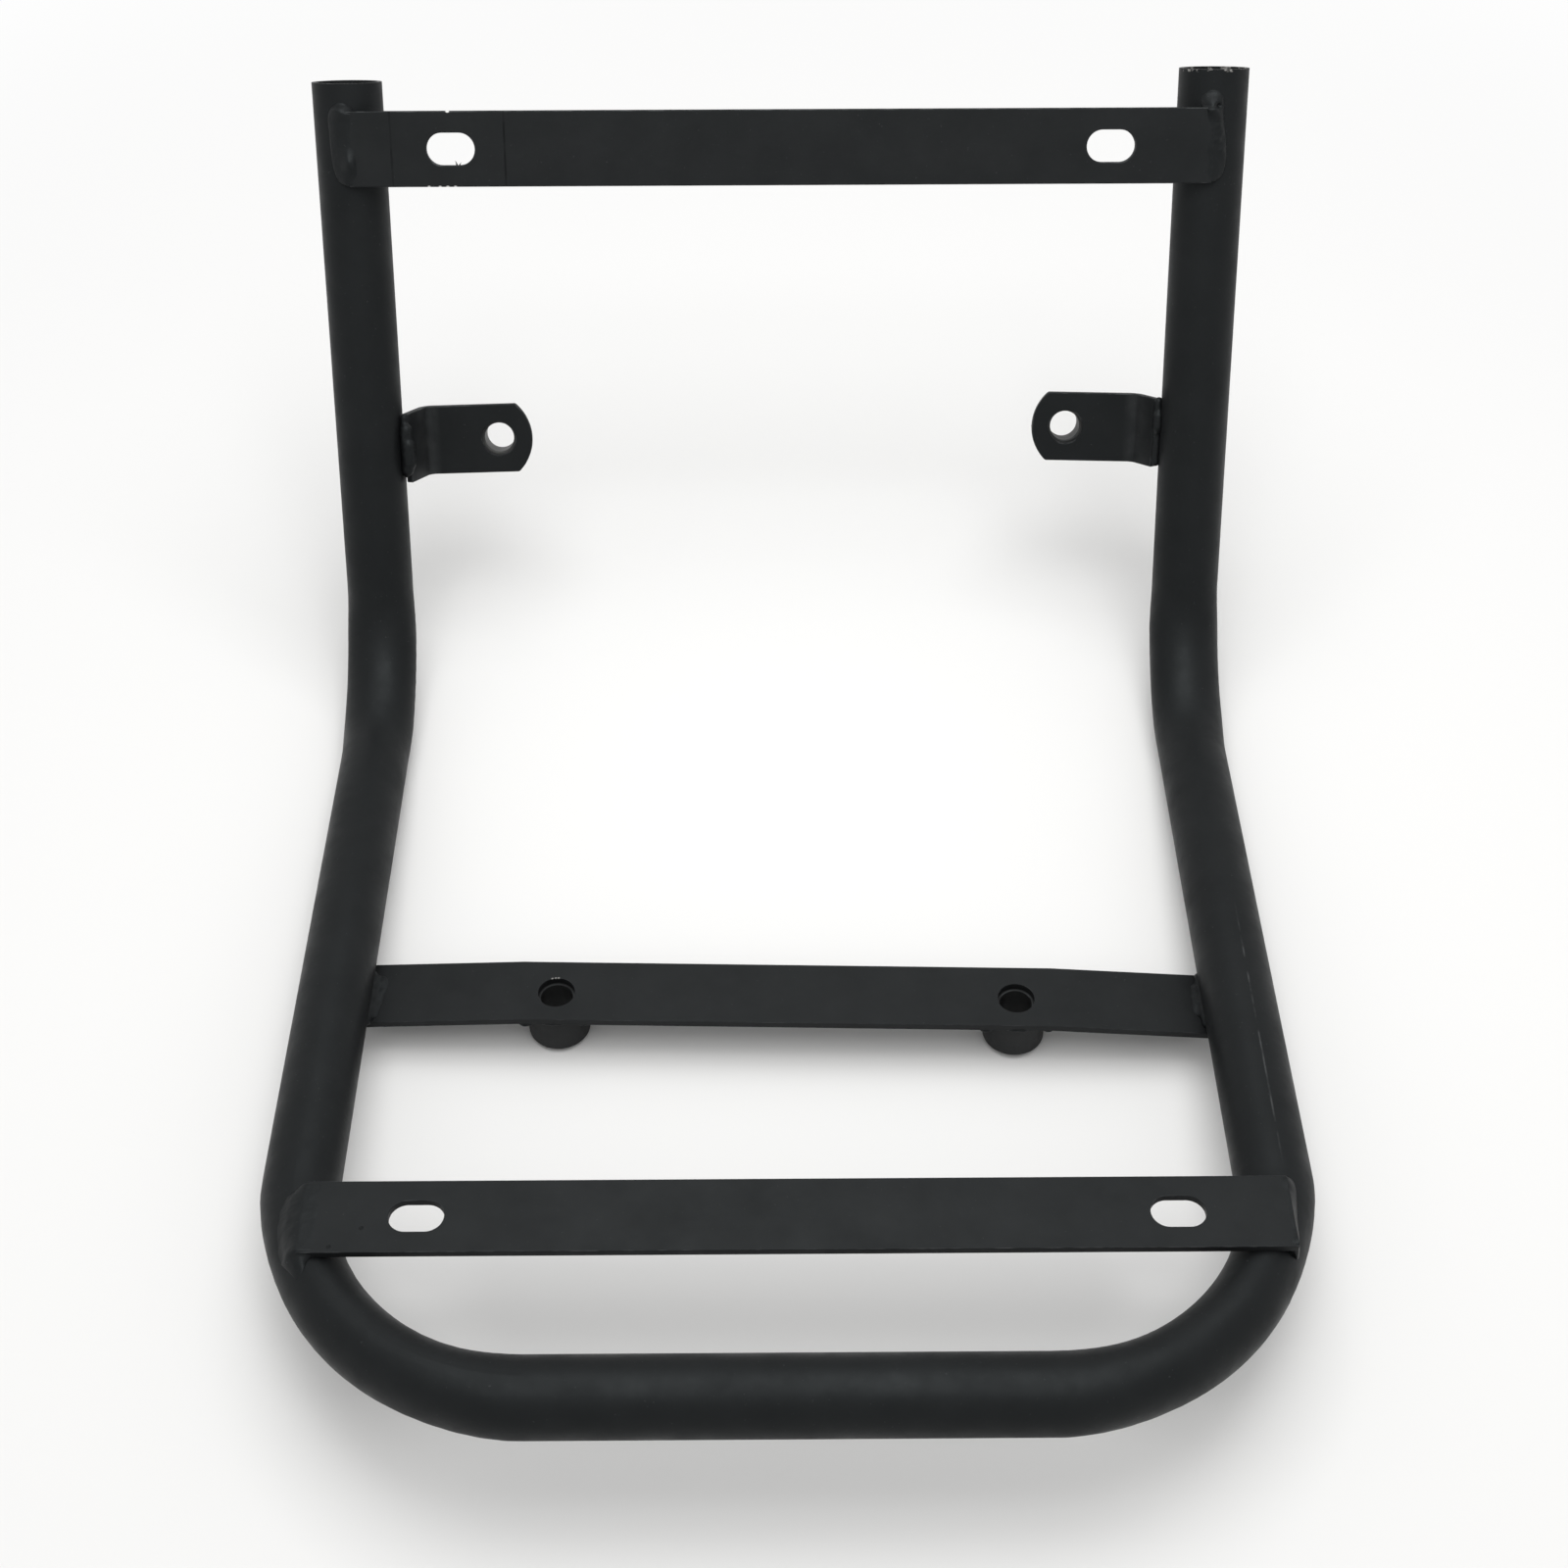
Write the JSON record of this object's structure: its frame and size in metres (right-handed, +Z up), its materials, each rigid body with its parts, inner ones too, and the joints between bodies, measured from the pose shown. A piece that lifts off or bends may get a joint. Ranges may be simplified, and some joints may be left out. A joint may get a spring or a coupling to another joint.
{
  "type": "front basket bracket",
  "caption": "Satin black welded steel front basket bracket: a bent round tube with slotted flat crossbars, spacer bosses and bent tabs with bored collars",
  "frame": {"origin": "midway between the two bosses, on the plane of their feet", "axes": "+X to the right across the bracket, +Y back along the legs towards the uprights, +Z up from the legs' plane"},
  "size_m": [0.2582, 0.3308, 0.1838],
  "materials": {
    "black_paint": "satin",
    "painted_weld": "satin",
    "thin_paint": "satin"
  },
  "bodies": {
    "root": {"main_tube": "black_paint", "upper_crossbar": "black_paint", "lower_crossbar": "black_paint", "middle_crossbar": "black_paint", "left_boss": "black_paint", "right_boss": "black_paint", "left_boss_weld": "painted_weld", "right_boss_weld": "painted_weld", "left_tab": "black_paint", "right_tab": "black_paint", "left_tab_collar": "thin_paint", "right_tab_collar": "thin_paint", "left_collar_weld": "painted_weld", "right_collar_weld": "painted_weld", "upper_crossbar_weld_left": "painted_weld", "upper_crossbar_weld_right": "painted_weld", "lower_crossbar_weld_left": "painted_weld", "lower_crossbar_weld_right": "painted_weld", "middle_crossbar_weld_left": "painted_weld", "middle_crossbar_weld_right": "painted_weld", "left_tab_weld": "painted_weld", "right_tab_weld": "painted_weld"}
  },
  "joints": []
}
